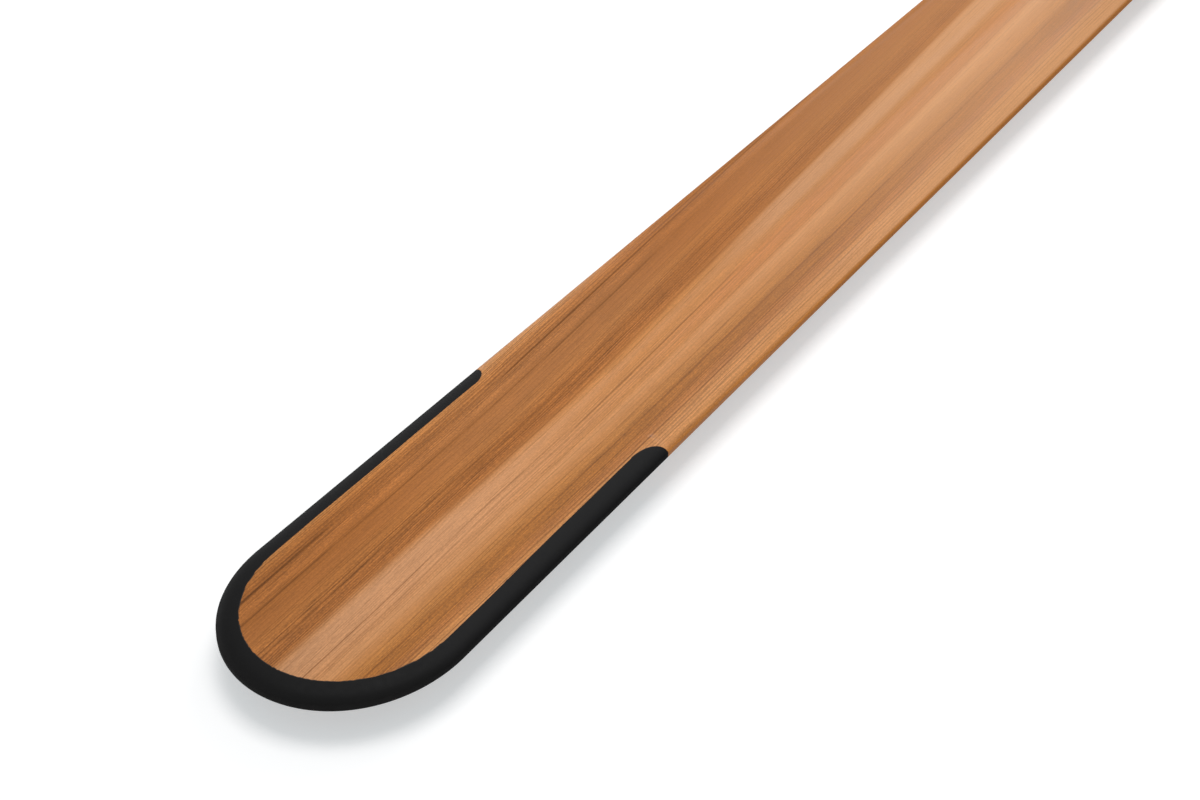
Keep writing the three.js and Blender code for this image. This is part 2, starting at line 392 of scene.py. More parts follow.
def make_cheek(blade, side_name):
    """The strip between the stave and the edge, from where the border leaves the stave to the shoulder."""
    side = SIDES[side_name]
    border_s, border_y, _, _ = BORDERS[side]
    start = np.interp(SEAM_FROM_CENTRE, border_y[:TIP_ROWS], border_s[:TIP_ROWS])
    arm_length = ARM_LENGTHS[side]
    corner_s = arm_length - CORNER_LENGTHS[side]
    corner = corner_s + CORNER_LENGTHS[side] * np.sin(np.linspace(0, math.pi / 2, CORNER_ROWS))
    s = np.concatenate([
        start + (TIP_STRETCH_END - start) * shares_close_at_start(CHEEK_TIP_ROWS),
        rows_between(TIP_STRETCH_END, corner_s, FINE_STEP)[1:],
        corner[1:],
        [arm_length + ARM_END_STEP],
        rows_between(arm_length, FINE_STRETCH_END, FINE_STEP)[1:],
        rows_between(FINE_STRETCH_END, BLEND_START, BLADE_STEP)[1:],
        rows_between(BLEND_START, SHOULDER_END, CHEEK_SHOULDER_STEP)[1:],
    ])
    inner = np.interp(s, border_s, border_y)
    edge = np.where(s <= arm_length, inner, half_width(s))
    edge = np.maximum(edge, SEAM_FROM_CENTRE)
    share = shares_close_at_end(CHEEK_COLUMNS, CHEEK_CROWDING)
    across = SEAM_FROM_CENTRE + (edge[:, None] - SEAM_FROM_CENTRE) * share[None, :]
    end = BLADES[blade]
    x = end * (HALF_LENGTH - np.repeat(s[:, None], across.shape[1], 1))
    make_slab(f"{blade}_blade_cheek_{side_name}", x, -end * side * across, "cedar")


def make_edging(blade):
    rows_s, rows_y = [], []
    share = shares_close_at_end(EDGING_COLUMNS, EDGING_CROWDING)
    for side in SIDES.values():
        border_s, border_y, out_s, out_y = BORDERS[side]
        s = border_s[:, None] + (out_s - border_s)[:, None] * share[None, :]
        y = border_y[:, None] + (out_y - border_y)[:, None] * share[None, :]
        order = slice(None, None, -1) if side == 1 else slice(1, None)
        rows_s.append(s[order])
        rows_y.append(side * y[order])
    end = BLADES[blade]
    x = end * (HALF_LENGTH - np.concatenate(rows_s))
    make_slab(f"{blade}_blade_edging", x, -end * np.concatenate(rows_y), "edging_epoxy")


# Nodes of the materials. Lengths in the paddle's materials are in millimetres, apart from the bumps'
# distances and what is measured from the edging's border.

HALF_LENGTH_MM = HALF_LENGTH / MM
BLADE_LENGTH_MM = BLADE_LENGTH / MM
SHOULDER_END_MM = SHOULDER_END / MM
MIDDLE_HEIGHT_MM = MIDDLE_HEIGHT / MM

# The Mix node's inputs and its output when it mixes colours
MIX_SHARE = 0
MIX_FIRST = 6
MIX_SECOND = 7
MIXED = 2

# Where a colour ramp's new stop stands until it is given its place
UNPLACED_STOP = 0.5


def new_material(name):
    material = bpy.data.materials.new(name)
    material.use_nodes = True
    tree = material.node_tree
    tree.nodes.clear()
    return material, tree


def add(tree, kind, inputs=None, **settings):
    """A node of that kind, with its inputs set to plain values or linked to other nodes' sockets."""
    node = tree.nodes.new(kind)
    for key, value in settings.items():
        setattr(node, key, value)
    for key, value in (inputs or {}).items():
        if isinstance(value, bpy.types.NodeSocket):
            tree.links.new(value, node.inputs[key])
        else:
            node.inputs[key].default_value = value
    return node


def calc(tree, operation, *values):
    return add(tree, "ShaderNodeMath", dict(enumerate(values)), operation=operation).outputs[0]


def product(tree, first, *others):
    for other in others:
        first = calc(tree, "MULTIPLY", first, other)
    return first


def noise(tree, vector, scale, detail=2.0, roughness=0.5):
    inputs = {"Vector": vector, "Scale": scale, "Detail": detail, "Roughness": roughness}
    return add(tree, "ShaderNodeTexNoise", inputs).outputs["Fac"]


def map_range(tree, value, ends, levels, kind):
    inputs = {
        "Value": value,
        "From Min": ends[0],
        "From Max": ends[1],
        "To Min": levels[0],
        "To Max": levels[1],
    }
    return add(tree, "ShaderNodeMapRange", inputs, interpolation_type=kind).outputs["Result"]


def eased(tree, value, ends, levels=(0.0, 1.0)):
    """From the first level to the second as the value goes from one end to the other, with soft ends."""
    return map_range(tree, value, ends, levels, "SMOOTHSTEP")


def straight(tree, value, ends, levels=(0.0, 1.0)):
    return map_range(tree, value, ends, levels, "LINEAR")


def falling(tree, value, ends):
    return eased(tree, value, ends, (1.0, 0.0))


def within(tree, value, rise, fall):
    """The value's share in a stretch that it enters over one range and leaves over another."""
    return product(tree, eased(tree, value, rise), falling(tree, value, fall))


def mix_colours(tree, share, first, second, kind="MIX"):
    inputs = {MIX_SHARE: share, MIX_FIRST: first, MIX_SECOND: second}
    return add(tree, "ShaderNodeMix", inputs, data_type="RGBA", blend_type=kind).outputs[MIXED]


def colour(red, green, blue):
    """An sRGB colour, given as it looks on a screen, 0 to 255."""
    def linear(value):
        share = value / 255
        return share / 12.92 if share <= 0.04045 else ((share + 0.055) / 1.055) ** 2.4
    return (linear(red), linear(green), linear(blue), 1.0)


def grey(level):
    return (level, level, level, 1.0)


def ramp(tree, value, stops):
    node = add(tree, "ShaderNodeValToRGB", {"Fac": value})
    node.color_ramp.interpolation = "EASE"
    elements = node.color_ramp.elements
    while len(elements) < len(stops):
        elements.new(UNPLACED_STOP)
    for element, (place, tone) in zip(elements, stops):
        element.position = place
        element.color = tone
    return node.outputs["Color"]


def level_along(tree, from_tip, levels):
    """A level between 0 and 2 that changes with the distance from the tip, from a table of both."""
    longest = levels[-1][0]
    stops = [(place / longest, grey(level / 2)) for place, level in levels]
    halves = ramp(tree, calc(tree, "DIVIDE", from_tip, longest), stops)
    return product(tree, halves, 2.0)


def stretch(tree, vector, scales):
    return add(tree, "ShaderNodeVectorMath", {0: vector, 1: scales}, operation="MULTIPLY").outputs[0]


def combine(tree, *values):
    return add(tree, "ShaderNodeCombineXYZ", dict(enumerate(values))).outputs[0]


def around_zero(tree, value, amount):
    """A noise value from 0 to 1, turned into a shift of up to half the amount either way."""
    return product(tree, calc(tree, "SUBTRACT", value, 0.5), amount)


def bump(tree, height, strength, distance, normal=None):
    inputs = {"Height": height, "Strength": strength, "Distance": distance}
    if normal is not None:
        inputs["Normal"] = normal
    return add(tree, "ShaderNodeBump", inputs).outputs[0]


def place_on_paddle(tree):
    """The place in millimetres, whole and as its parts: along, across, and up from the middle plane."""
    place = add(tree, "ShaderNodeTexCoord").outputs["Object"]
    position = add(tree, "ShaderNodeVectorMath", {0: place, "Scale": 1 / MM}, operation="SCALE").outputs[0]
    x, y, height = add(tree, "ShaderNodeSeparateXYZ", {0: position}).outputs
    return position, x, y, calc(tree, "SUBTRACT", height, MIDDLE_HEIGHT_MM)


def distance_from_tip(tree, x):
    return calc(tree, "SUBTRACT", HALF_LENGTH_MM, calc(tree, "ABSOLUTE", x))


def show_surface(tree, base, roughness, normal, specular):
    shader = add(tree, "ShaderNodeBsdfPrincipled", {
        "Base Color": base,
        "Roughness": roughness,
        "Normal": normal,
        "Specular IOR Level": specular,
    })
    add(tree, "ShaderNodeOutputMaterial", {"Surface": shader.outputs[0]})


# Cedar tones, and where they lie across the grain, in millimetres to the left of the growth band's edge
# that runs up the middle of the near blade. The third value says how strong the fine detail is there.

CEDAR_DARK = colour(167, 101, 41)
CEDAR_BROWN = colour(173, 106, 47)
CEDAR_WARM = colour(178, 111, 50)
CEDAR_MIDDLE = colour(189, 123, 62)
CEDAR_ORANGE = colour(194, 129, 68)
CEDAR_LIGHT = colour(203, 137, 78)
CEDAR_PALE = colour(207, 143, 85)
CEDAR_PINK = colour(198, 136, 82)
CEDAR_TAN = colour(170, 105, 37)
CEDAR_HONEY = colour(190, 124, 57)
CEDAR_GOLD = colour(196, 114, 44)
CEDAR_TIP_PINK = colour(207, 150, 105)
# The pale tone of the painted sheen
PAINTED_SHEEN_TONE = colour(250, 214, 165)
CEDAR_LINE = colour(118, 66, 10)
CEDAR_LEFT_EDGE = colour(150, 88, 34)
CEDAR_RIGHT_EDGE = colour(182, 111, 25)
GRAIN_LOW = -90
GRAIN_HIGH = 60
GRAIN_BANDS = (
    (-90, CEDAR_LIGHT, 0.5), (-76, CEDAR_MIDDLE, 0.8), (-66, CEDAR_WARM, 0.7), (-54, CEDAR_ORANGE, 0.6),
    (-43, CEDAR_LIGHT, 0.6), (-37, CEDAR_PALE, 0.5), (-33.5, CEDAR_ORANGE, 0.7), (-31, CEDAR_WARM, 0.8),
    (-28, CEDAR_TAN, 0.9), (-25, CEDAR_TAN, 0.9), (-22, CEDAR_HONEY, 0.5), (-19.5, CEDAR_ORANGE, 0.3),
    (-16, CEDAR_PALE, 0.25), (-13.3, CEDAR_ORANGE, 0.45), (-10.8, CEDAR_LIGHT, 0.35),
    (-8.7, CEDAR_ORANGE, 0.45), (-6.3, CEDAR_ORANGE, 0.35), (-3.2, CEDAR_PINK, 0.25),
    (-0.9, CEDAR_ORANGE, 0.4), (1.2, CEDAR_WARM, 0.45),
    (3.0, CEDAR_BROWN, 1.0), (5, CEDAR_BROWN, 1.0), (10, CEDAR_WARM, 0.9), (12, CEDAR_WARM, 0.5),
    (17, CEDAR_BROWN, 0.35), (22, CEDAR_DARK, 0.5), (26, CEDAR_BROWN, 0.9), (31, CEDAR_DARK, 1.0),
    (34, CEDAR_WARM, 1.0), (37, CEDAR_ORANGE, 1.0), (60, CEDAR_BROWN, 0.7),
)

# Dark streaks of pitch and late wood: middle across the grain, half width, darkness, and where along the
# near blade each begins and ends, in millimetres
STREAKS = (
    (29.5, 0.9, 1.30, 12, 62), (29.3, 0.6, 0.45, 80, 160), (29.0, 0.8, 1.15, 178, 450),
    (22.3, 0.7, 0.90, 10, 55), (22.1, 0.7, 0.60, 73, 177), (21.7, 0.7, 0.65, 195, 255),
    (-6.6, 0.5, 0.70, 10, 70), (-7.4, 0.5, 0.40, 88, 147), (-8.5, 0.5, 0.60, 165, 260),
    (9.0, 0.4, 0.70, 0, 132), (7.8, 0.4, 0.55, 150, 400), (7.0, 0.3, 0.40, 98, 150), (6.2, 0.3, 0.45, 0, 75),
    (4.9, 0.3, 0.60, 90, 400), (3.0, 0.4, 0.55, 185, 270), (27.4, 0.3, 0.50, 0, 300),
    (-24.6, 0.4, 0.50, 150, 300), (-28.4, 0.3, 0.60, 0, 400), (32.4, 0.3, 0.60, 20, 300),
)
STREAK_END = 18.0
FAINTEST_STREAK_SHARE = 0.7

# Growth rings: how far apart they lie, and how that drifts; how dark each is within itself, by the share of
# the ring; how dark each is as a whole; and how they fade in and out along the paddle
RING_SPACING = 1.05
RING_DRIFT_ALONG = 0.0005
RING_DRIFT_SCALE = 0.16
RING_DRIFT = 7.0
LATE_WOOD_SHARES = ((0.45, 0.85), (0.9, 1.0))
RING_DRAW_ENDS = (0.1, 0.9)
RING_DARKNESS = (0.25, 1.0)
FADE_ALONG = 0.014
FADE_SCALE = 0.8
FADE_ENDS = (0.3, 0.65)
FADE_LEVELS = (0.4, 1.0)

# The grain runs straight near the tip, then fans out towards the left edge, and drifts a little on the way
FAN_START = 165.0
FAN_END = 340.0
FAN_SOFTNESS = 60.0
FAN_SLOPE = 0.0375
FAN_SPREAD = 35.0
RING_LEAN = 0.28
EDGE_FAN = (10.0, 38.0)
EDGE_FAN_SHARE = 0.4
BROAD_DRIFT_SCALES = (0.0028, 0.022, 0.022)
BROAD_DRIFT = 3.0
FINE_DRIFT_SCALES = (0.012, 0.16, 0.16)
FINE_DRIFT = 0.8

# Near the tip the rings dip beside the middle of the blade, and the bands of colour rise there
TIP_DIP = 2.5
TIP_LIFT = 1.0
TIP_DIP_STRETCH = (40.0, 120.0)
TIP_DIP_MIDDLE = -5.0
TIP_DIP_REACH = 24.0


def grain_coordinate(tree, x, y, z, position):
    """Millimetres across the growth rings, which fan out along the near blade and lean in its thickness.

    The second value is the same for the colour bands, which bend the other way near the tip.
    """
    from_near_tip = calc(tree, "ADD", x, HALF_LENGTH_MM)
    run = calc(tree, "SMOOTH_MAX", calc(tree, "SUBTRACT", from_near_tip, FAN_START), 0.0, FAN_SOFTNESS)
    run = calc(tree, "SMOOTH_MIN", run, FAN_END, FAN_SOFTNESS)
    broad = around_zero(tree, noise(tree, stretch(tree, position, BROAD_DRIFT_SCALES), 1.0), BROAD_DRIFT)
    fine = around_zero(tree, noise(tree, stretch(tree, position, FINE_DRIFT_SCALES), 1.0), FINE_DRIFT)
    off_dip = calc(tree, "ABSOLUTE", calc(tree, "SUBTRACT", y, TIP_DIP_MIDDLE))
    dip = product(tree, falling(tree, off_dip, (0.0, TIP_DIP_REACH)),
                  falling(tree, from_near_tip, TIP_DIP_STRETCH))
    place = calc(tree, "MULTIPLY_ADD", dip, TIP_DIP, calc(tree, "MULTIPLY_ADD", z, RING_LEAN, y))
    place = calc(tree, "ADD", place, calc(tree, "ADD", broad, fine))
    run = product(tree, run, eased(tree, y, EDGE_FAN, (1.0, EDGE_FAN_SHARE)))
    fan = calc(tree, "EXPONENT", product(tree, place, -1 / FAN_SPREAD))
    fan = calc(tree, "MULTIPLY_ADD", run, FAN_SLOPE / FAN_SPREAD, fan)
    grain = product(tree, calc(tree, "LOGARITHM", fan, math.e), -FAN_SPREAD)
    return grain, calc(tree, "MULTIPLY_ADD", dip, -TIP_DIP - TIP_LIFT, grain)


def streak_line(tree, from_near_tip, grain, streak):
    centre, half_line, darkness, begin, end = streak
    off = calc(tree, "ABSOLUTE", calc(tree, "SUBTRACT", grain, centre))
    line = eased(tree, off, (0.0, half_line), (darkness, 0.0))
    line = product(tree, line, eased(tree, from_near_tip, (begin - STREAK_END, begin)))
    return product(tree, line, eased(tree, from_near_tip, (end + STREAK_END, end)))


def ring_lines(tree, x, grain, strength):
    """Growth rings: each darkens slowly and ends sharply, and each has a darkness of its own."""
    drift_place = combine(tree, product(tree, x, RING_DRIFT_ALONG), grain)
    uneven = product(tree, noise(tree, drift_place, RING_DRIFT_SCALE), RING_DRIFT)
    count = calc(tree, "MULTIPLY_ADD", grain, 1 / RING_SPACING, uneven)
    late = within(tree, calc(tree, "FRACT", count), *LATE_WOOD_SHARES)
    draw = add(tree, "ShaderNodeTexWhiteNoise", {"W": calc(tree, "FLOOR", count)}, noise_dimensions="1D")
    own = straight(tree, draw.outputs["Value"], RING_DRAW_ENDS, RING_DARKNESS)
    fade_place = combine(tree, product(tree, x, FADE_ALONG), grain)
    fade = eased(tree, noise(tree, fade_place, FADE_SCALE), FADE_ENDS, FADE_LEVELS)
    lines = product(tree, product(tree, late, own), product(tree, fade, strength))
    from_near_tip = calc(tree, "ADD", x, HALF_LENGTH_MM)
    for streak in STREAKS:
        line = streak_line(tree, from_near_tip, grain, streak)
        line = product(tree, line, eased(tree, fade, FADE_LEVELS, (FAINTEST_STREAK_SHARE, 1.0)))
        lines = calc(tree, "MAXIMUM", lines, line)
    return lines


# Tints over the bands. Each has the range of grain over which it comes in and the one over which it goes, and
# where along each blade it does, in millimetres from the tip. The pale bands run together towards the tip and
# again towards the loom, where the pink laid on them and by the right edge is painted sheen. Those beside
# them turn golden and brown. Towards the loom the wood is paled with painted sheen, and a faint painted sheen
# lies to the left of the near blade's middle.

TIP_PINK_BANDS = ((-22.0, -6.0), (-2.5, 2.5))
TIP_PINK_STRETCH = (80.0, 210.0)
TIP_PINK_SHARE = 0.8
# Painted sheen: towards the loom these bands and the right edge take the pale pink
LOOM_PINK_BANDS = ((-7.5, -5.0), (-1.0, 1.5))
RIGHT_PINK_END = (-36.0, -33.0)
LOOM_PINK_STRETCH = (250.0, 320.0)
LOOM_PINK_SHARE = 0.7
GOLD_BANDS = ((-16.0, -12.5), (-9.5, -7.0))
GOLD_STRETCH = (190.0, 280.0)
GOLD_SHARE = 0.35
BROWN_BANDS = ((4.0, 6.0), (8.5, 10.5))
BROWN_STRETCH = ((90.0, 130.0), (270.0, 310.0))
# Painted sheen that pales the wood towards the loom
LOOM_SHEEN_STRETCH = (250.0, 430.0)
LOOM_SHEEN_SHARE = 0.06
# Painted sheen to the left of the near blade's middle
LEFT_SHEEN_STRETCH = ((70.0, 150.0), (220.0, 290.0))
LEFT_SHEEN_SIDE = (0.0, 15.0)
LEFT_SHEEN_SHARE = 0.04


def band_ramp(tree, band_share, tones):
    """The bands' tones, one for each, blended from one band to the next."""
    places = [(band[0] - GRAIN_LOW) / (GRAIN_HIGH - GRAIN_LOW) for band in GRAIN_BANDS]
    return ramp(tree, band_share, list(zip(places, tones)))


def cedar_tone(tree, from_tip, y, band_grain, band_share):
    tone = band_ramp(tree, band_share, [band_tone for _, band_tone, _ in GRAIN_BANDS])
    tip_pink = product(tree, eased(tree, from_tip, TIP_PINK_STRETCH, (TIP_PINK_SHARE, 0.0)),
                       within(tree, band_grain, *TIP_PINK_BANDS))
    tone = mix_colours(tree, tip_pink, tone, CEDAR_TIP_PINK)
    # Painted sheen: the pale bands and the right edge turn pinker towards the loom
    loom_bands = calc(tree, "MAXIMUM", within(tree, band_grain, *LOOM_PINK_BANDS),
                      falling(tree, band_grain, RIGHT_PINK_END))
    loom_pink_sheen = product(tree, eased(tree, from_tip, LOOM_PINK_STRETCH, (0.0, LOOM_PINK_SHARE)), loom_bands)
    tone = mix_colours(tree, loom_pink_sheen, tone, CEDAR_TIP_PINK)
    gold = product(tree, eased(tree, from_tip, GOLD_STRETCH, (0.0, GOLD_SHARE)),
                   within(tree, band_grain, *GOLD_BANDS))
    tone = mix_colours(tree, gold, tone, CEDAR_GOLD)
    brown = product(tree, within(tree, from_tip, *BROWN_STRETCH), within(tree, band_grain, *BROWN_BANDS))
    tone = mix_colours(tree, brown, tone, CEDAR_DARK)
    # Painted sheen: the wood is paled towards the loom
    loom_sheen = eased(tree, from_tip, LOOM_SHEEN_STRETCH, (0.0, LOOM_SHEEN_SHARE))
    tone = mix_colours(tree, loom_sheen, tone, PAINTED_SHEEN_TONE)
    # Painted sheen: a faint pale veil to the left of the near blade's middle
    left_sheen = product(tree, within(tree, from_tip, *LEFT_SHEEN_STRETCH), eased(tree, y, LEFT_SHEEN_SIDE, (0.0, LEFT_SHEEN_SHARE)))
    return mix_colours(tree, left_sheen, tone, PAINTED_SHEEN_TONE)


# Painted light: how much lighter the wood is made along each blade, most towards the loom, by millimetres
# from the tip
PAINTED_LIGHT_ALONG = ((0, 0.95), (60, 0.99), (110, 1.03), (180, 1.03), (250, 1.01), (340, 1.03), (450, 1.06))

# Broad places that are lighter or darker: by how much, where along each blade the place comes in and goes,
# and where across the paddle it comes in, in millimetres. The first, by the left edge, is painted sheen.
LEVEL_PLACES = (
    (0.13, (80, 120), (250, 290), (26, 34)),
    (-0.05, (280, 450), (640, 700), (-12, -4)),
    (0.04, (-20, 0), (90, 130), (0, 6)),
    (-0.10, (-20, 0), (60, 110), (24, 32)),
)

# How much of the fine detail shows along each blade: the wood is calmer where the blade nears the shoulder
DETAIL_ALONG = ((0, 1.25), (200, 1.25), (300, 0.8), (400, 0.5), (520, 0.5), (640, 1.0))
# How far each band's own strength counts in the fine detail, and how much of it there is at least
BAND_DETAIL = 1.1
LEAST_DETAIL = 0.22
# How far the lines and the pores take on the line's colour
LINE_SHARE = 0.95
PORE_SHARE = 0.30

# Fibres are short fine streaks along the grain, with open pores among them. The tooth is left from sanding,
# and the clouds are broad. The pores come in between two values of their noise. The others are levels
# around 1, reached at two values of theirs.
FIBRES_ALONG = 0.022
FIBRES_SCALE = 2.2
FIBRES_FINENESS = 3.0
FIBRES_ROUGHNESS = 0.65
FIBRE_ENDS = (0.25, 0.75)
FIBRE_LEVELS = (0.76, 1.24)
PORES_SCALE = 4.2
PORES_FINENESS = 1.0
PORE_ENDS = (0.60, 0.74)
TOOTH_SCALES = (0.6, 1.0, 1.0)
TOOTH_SCALE = 1.9
TOOTH_LEVELS = (0.86, 1.14)
CLOUDS_SCALES = (0.006, 0.05, 0.05)
CLOUDS_FINENESS = 3.0
CLOUD_LEVELS = (0.93, 1.07)
NOISE_ENDS = (0.3, 0.7)


def cedar_level(tree, from_tip, y, position, fibres, band_detail):
    """How light the wood is, around 1: fibres, tooth, clouds, and painted light along the blade and by its
    left edge.
    """
    tooth = noise(tree, stretch(tree, position, TOOTH_SCALES), TOOTH_SCALE)
    clouds = noise(tree, stretch(tree, position, CLOUDS_SCALES), 1.0, CLOUDS_FINENESS)
    fine_level = product(tree, straight(tree, fibres, FIBRE_ENDS, FIBRE_LEVELS),
                         straight(tree, tooth, NOISE_ENDS, TOOTH_LEVELS))
    fine_level = calc(tree, "MULTIPLY_ADD", calc(tree, "SUBTRACT", fine_level, 1.0), band_detail, 1.0)
    level = product(tree, fine_level, straight(tree, clouds, NOISE_ENDS, CLOUD_LEVELS),
                    level_along(tree, from_tip, PAINTED_LIGHT_ALONG))
    for amount, coming, going, side_coming in LEVEL_PLACES:
        share = product(tree, within(tree, from_tip, coming, going), eased(tree, y, side_coming))
        level = product(tree, level, calc(tree, "MULTIPLY_ADD", share, amount, 1.0))
    return level


# The blade's rolled edge is darker, partly from edge grain that takes more oil and partly painted shade where
# the edge rolls under, with a dark line along its middle that is painted shade. It is darkest up to one
# height above the middle plane, and has the face's tone above another, which is lower on the right edge than
# the left.
EDGE_SIDE_CHANGE = (-5.0, 5.0)
EDGE_DARK_HEIGHT = 1.2
EDGE_TOP_HEIGHTS = (2.1, 2.6)
EDGE_SHARE = 0.8
EDGE_LINE_HEIGHTS = (0.0, 1.3)
EDGE_LINE_SHARE = 0.34


def add_cedar_edge_and_shade(tree, body, y, off_middle, on_blade):
    left = straight(tree, y, EDGE_SIDE_CHANGE)
    edge_top = straight(tree, left, (0.0, 1.0), EDGE_TOP_HEIGHTS)
    # Painted shade over the edge grain's own darker tone on the rolled edge
    edge = product(tree, falling(tree, off_middle, (EDGE_DARK_HEIGHT, edge_top)), on_blade)
    tone = mix_colours(tree, left, CEDAR_RIGHT_EDGE, CEDAR_LEFT_EDGE)
    body = mix_colours(tree, product(tree, edge, EDGE_SHARE), body, tone)
    # Painted shade: a dark line along the middle of the edge
    line = product(tree, straight(tree, off_middle, EDGE_LINE_HEIGHTS, (EDGE_LINE_SHARE, 0.0)), on_blade)
    return mix_colours(tree, line, body, CEDAR_LINE)


# Black epoxy that has crept a little way into the grain beside the edging, in metres from its border: further
# round the tip, where the grain runs into the border, than along the arms, where it runs beside it
CREEP_COLOUR = colour(34, 30, 26)
ARM_CREEP = 0.00006
TIP_CREEP = 0.0004
CREEP_SOFTNESS = 0.00025
CREEP_CHANGE_LENGTH = 0.030
CREEP_SCALES = (0.5, 1.0, 1.0)
CREEP_SCALE = 0.5


def add_creep(tree, body, x, position):
    gap = add(tree, "ShaderNodeAttribute", attribute_name="border_distance").outputs["Fac"]
    change_middle = HALF_LENGTH - TIP_ROUND_LENGTH
    change = ((change_middle - CREEP_CHANGE_LENGTH / 2) / MM, (change_middle + CREEP_CHANGE_LENGTH / 2) / MM)
    reach = eased(tree, calc(tree, "ABSOLUTE", x), change, (ARM_CREEP, TIP_CREEP))
    creep = product(tree, noise(tree, stretch(tree, position, CREEP_SCALES), CREEP_SCALE), reach)
    stain = falling(tree, gap, (creep, calc(tree, "ADD", creep, CREEP_SOFTNESS)))
    return mix_colours(tree, stain, body, CREEP_COLOUR)


# Relief of the wood, as parts of the bump's height: the lines and pores lie a little lower than the fibres,
# and planing by hand has left long shallow waves. Each bump has its strength and its distance in metres.
LINE_RELIEF = -0.5
FIBRE_RELIEF = 0.5
PORE_RELIEF = 0.35
GRAIN_BUMP = (0.35, 0.00006)
PLANING_SCALES = (0.010, 0.055, 0.055)
PLANING_FINENESS = 1.0
PLANING_BUMP = (0.5, 0.0002)

# Gloss of the wood: satin on the face and duller on the rolled edge, which starts at a share of the rim's
# height. Near the tip, where the edge catches the light, it is hardly duller.
CEDAR_ROUGHNESS = (0.34, 0.44)
CEDAR_SPECULAR = 0.25
DULL_EDGE_SHARES = (0.7, 0.97)
DULL_EDGE_STRETCH = (220.0, 330.0)
DULL_EDGE_LEVELS = (0.2, 1.0)
DULL_EDGE_ROUGHNESS = 0.4


def cedar_normal(tree, lines, fibres, pores, position):
    relief = calc(tree, "MULTIPLY_ADD", lines, LINE_RELIEF, product(tree, fibres, FIBRE_RELIEF))
    relief = calc(tree, "SUBTRACT", relief, product(tree, pores, PORE_RELIEF))
    grain_normal = bump(tree, relief, *GRAIN_BUMP)
    planing = noise(tree, stretch(tree, position, PLANING_SCALES), 1.0, PLANING_FINENESS)
    return bump(tree, planing, *PLANING_BUMP, grain_normal)


def cedar_roughness(tree, fibres, from_tip, off_middle, on_blade):
    run_share = calc(tree, "DIVIDE", from_tip, BLADE_LENGTH_MM)
    rim_height_here = calc(tree, "MULTIPLY_ADD", calc(tree, "POWER", run_share, 2.0),
                           (RIM_ROOT_THICKNESS - RIM_TIP_THICKNESS) / 2 / MM, RIM_TIP_THICKNESS / 2 / MM)
    rolled = falling(tree, calc(tree, "DIVIDE", off_middle, rim_height_here), DULL_EDGE_SHARES)
    rolled = product(tree, rolled, eased(tree, from_tip, DULL_EDGE_STRETCH, DULL_EDGE_LEVELS), on_blade)
    roughness = straight(tree, fibres, NOISE_ENDS, CEDAR_ROUGHNESS)
    return calc(tree, "MULTIPLY_ADD", rolled, DULL_EDGE_ROUGHNESS, roughness)


def make_cedar():
    material, tree = new_material("cedar")
    position, x, y, z = place_on_paddle(tree)
    from_tip = distance_from_tip(tree, x)
    off_middle = calc(tree, "ABSOLUTE", z)
    on_blade = falling(tree, from_tip, (BLADE_LENGTH_MM, SHOULDER_END_MM))
    grain, band_grain = grain_coordinate(tree, x, y, z, position)

    band_share = straight(tree, band_grain, (GRAIN_LOW, GRAIN_HIGH))
    strength = band_ramp(tree, band_share, [grey(band_strength) for _, _, band_strength in GRAIN_BANDS])
    detail = level_along(tree, from_tip, DETAIL_ALONG)
    band_detail = product(tree, calc(tree, "MULTIPLY_ADD", strength, BAND_DETAIL, LEAST_DETAIL), detail)
    lines = ring_lines(tree, x, grain, strength)
    fibre_place = combine(tree, product(tree, x, FIBRES_ALONG), grain, z)
    fibres = noise(tree, fibre_place, FIBRES_SCALE, FIBRES_FINENESS, FIBRES_ROUGHNESS)
    pores = eased(tree, noise(tree, fibre_place, PORES_SCALE, PORES_FINENESS), PORE_ENDS)

    tone = cedar_tone(tree, from_tip, y, band_grain, band_share)
    body = mix_colours(tree, product(tree, lines, LINE_SHARE, detail), tone, CEDAR_LINE)
    body = add_cedar_edge_and_shade(tree, body, y, off_middle, on_blade)
    level = cedar_level(tree, from_tip, y, position, fibres, band_detail)
    level_colour = add(tree, "ShaderNodeCombineColor", {0: level, 1: level, 2: level}).outputs[0]
    body = mix_colours(tree, 1.0, body, level_colour, "MULTIPLY")
    body = mix_colours(tree, product(tree, pores, PORE_SHARE, detail), body, CEDAR_LINE)
    body = add_creep(tree, body, x, position)

    roughness = cedar_roughness(tree, fibres, from_tip, off_middle, on_blade)
    normal = cedar_normal(tree, lines, fibres, pores, position)
    show_surface(tree, body, roughness, normal, CEDAR_SPECULAR)
    return material


# Epoxy: near black and mottled, with a few specks, and with scuffs that lie in patches

EPOXY_DARK = colour(16, 16, 17)
EPOXY_LIGHT = colour(23, 23, 24)
MOTTLE_SCALE = 0.35
MOTTLE_FINENESS = 4.0
MOTTLE_ROUGHNESS = 0.6
SCUFF_COLOUR = colour(66, 66, 68)
SCUFF_SCALES = (1.0, 0.28, 0.6)
SCUFF_SCALE = 1.3
SCUFF_FINENESS = 5.0
SCUFF_ROUGHNESS = 0.7
SCUFF_ENDS = (0.58, 0.78)
SCUFF_PATCH_SCALE = 0.05
SCUFF_PATCH_FINENESS = 1.0
SCUFF_PATCH_ENDS = (0.45, 0.7)
SCUFF_SHARE = 0.30
SPECK_COLOUR = colour(90, 88, 84)
SPECK_SCALE = 3.5
SPECK_ENDS = (0.66, 0.78)
SPECK_SHARE = 0.08

